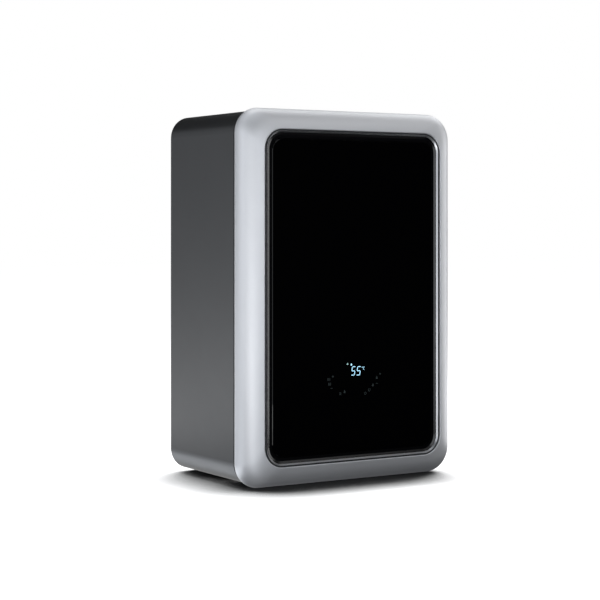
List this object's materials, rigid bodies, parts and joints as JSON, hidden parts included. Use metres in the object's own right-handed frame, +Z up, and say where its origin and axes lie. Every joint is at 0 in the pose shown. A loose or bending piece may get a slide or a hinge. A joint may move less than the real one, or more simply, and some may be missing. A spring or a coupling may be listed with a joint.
{
  "type": "wall-hung gas combi boiler",
  "caption": "Wall-hung condensing combi boiler: dark steel casing, rounded silver bezel round a black glass front with a lit temperature display and touch keys.",
  "frame": {"origin": "middle of the footprint, on the surface that the casing stands on", "axes": "+Z up, the glass front faces -Y, the wall is at +Y, +X is to the right seen from the front"},
  "size_m": [0.3998, 0.256, 0.59],
  "materials": {
    "casing_paint": "satin dark grey powder coat",
    "galvanised": "galvanised sheet, matt",
    "silver_plastic": "satin silver lacquer",
    "black_glass": "tempered, black printed behind, polished",
    "gloss_black": "polished",
    "bright_trim": "polished",
    "dark_rubber": "matt",
    "foam_seal": "closed-cell foam",
    "black_plastic": "fine texture",
    "white_plastic": "moulded, satin",
    "grey_plastic": "moulded, satin",
    "cast_alloy": "die cast, matt",
    "stainless": "rolled, satin",
    "brass": "machined, bright",
    "copper_pipe": "drawn copper, satin",
    "red_paint": "gloss red",
    "zinc_screw": "zinc plated",
    "circuit_board": "green solder mask",
    "display_led": "dark window over lit segments",
    "blue_plastic": "moulded, satin",
    "red_plastic": "moulded, satin",
    "black_motor": "satin black",
    "ceramic": "fired ceramic"
  },
  "bodies": {
    "casing": {"casing_wrap": "casing_paint", "back_frame": "galvanised", "bottom_plate": "galvanised", "heating_tails": "brass", "tap_and_gas_tails": "brass", "tail_nuts": "brass", "mains_cable_gland": "black_plastic", "flow_block": "brass", "return_block": "brass", "cold_inlet_block": "brass", "plate_heat_exchanger": "stainless", "pump_volute": "grey_plastic", "pump_motor": "black_motor", "air_vent": "brass", "diverter_motor": "black_plastic", "condensate_trap": "white_plastic", "flue_collector": "grey_plastic", "heat_exchanger_drum": "stainless", "heat_exchanger_coils": "stainless", "burner_door": "cast_alloy", "door_nuts": "zinc_screw", "burner_tube": "stainless", "ignition_electrode": "ceramic", "burner_duct": "cast_alloy", "fan_volute": "cast_alloy", "fan_motor": "black_motor", "venturi_mixer": "black_plastic", "gas_valve": "cast_alloy", "gas_pipe": "copper_pipe", "flow_pipe": "copper_pipe", "return_pipe": "copper_pipe", "vessel_pipe": "copper_pipe", "expansion_vessel": "red_paint", "flue_duct": "grey_plastic", "air_collar": "black_plastic", "flue_socket": "black_plastic", "collar_screws": "zinc_screw", "catch_clips": "black_plastic", "control_box_brackets": "galvanised"},
    "front_cover": {"bezel_frame": "silver_plastic", "cover_panel": "galvanised", "cover_seal": "foam_seal", "trim_gasket": "dark_rubber", "trim_ring": "bright_trim", "glass_carrier": "gloss_black", "front_glass": "black_glass", "touch_board": "circuit_board", "display_module": "display_led", "ball_studs": "zinc_screw"},
    "control_box": {"control_box_tray": "black_plastic", "control_box_lid": "black_plastic", "main_board": "circuit_board"},
    "fan_rotor": {"fan_impeller": "grey_plastic"},
    "pump_shaft": {"pump_rotor": "stainless"},
    "turbine": {"flow_turbine": "white_plastic"},
    "diverter": {"diverter_spindle": "brass"},
    "safety_knob": {"safety_valve_knob": "red_plastic"},
    "fill_knob": {"filling_knob": "blue_plastic"}
  },
  "joints": [
    {"name": "cover_pull", "type": "slide", "parent": "casing", "child": "front_cover", "axis": [0, -1, 0], "range_m": [0, 0.35]},
    {"name": "control_box_swing", "type": "hinge", "parent": "casing", "child": "control_box", "pos_m": [0, -0.072, 0.052], "axis": [1, 0, 0], "range_deg": [0, 75]},
    {"name": "fan_spin", "type": "hinge", "parent": "casing", "child": "fan_rotor", "pos_m": [0.12, 0.005, 0.492], "axis": [0, 0, 1], "continuous": true},
    {"name": "pump_spin", "type": "hinge", "parent": "casing", "child": "pump_shaft", "pos_m": [0.104, 0, 0.196], "axis": [0, 1, 0], "continuous": true},
    {"name": "turbine_spin", "type": "hinge", "parent": "casing", "child": "turbine", "pos_m": [0.065, 0.045, 0.08], "axis": [0, 0, 1], "continuous": true},
    {"name": "diverter_lift", "type": "slide", "parent": "casing", "child": "diverter", "axis": [0, 0, 1], "range_m": [0, 0.01]},
    {"name": "safety_knob_turn", "type": "hinge", "parent": "casing", "child": "safety_knob", "pos_m": [-0.098, 0.002, 0.03], "axis": [0, 0, 1], "range_deg": [0, 90]},
    {"name": "fill_knob_turn", "type": "hinge", "parent": "casing", "child": "fill_knob", "pos_m": [0.065, 0.002, 0.03], "axis": [0, 0, 1], "range_deg": [0, 360]}
  ],
  "couplings": [
    {"joint": "control_box_swing", "follows": "cover_pull", "rad_per_m": 3.7}
  ]
}
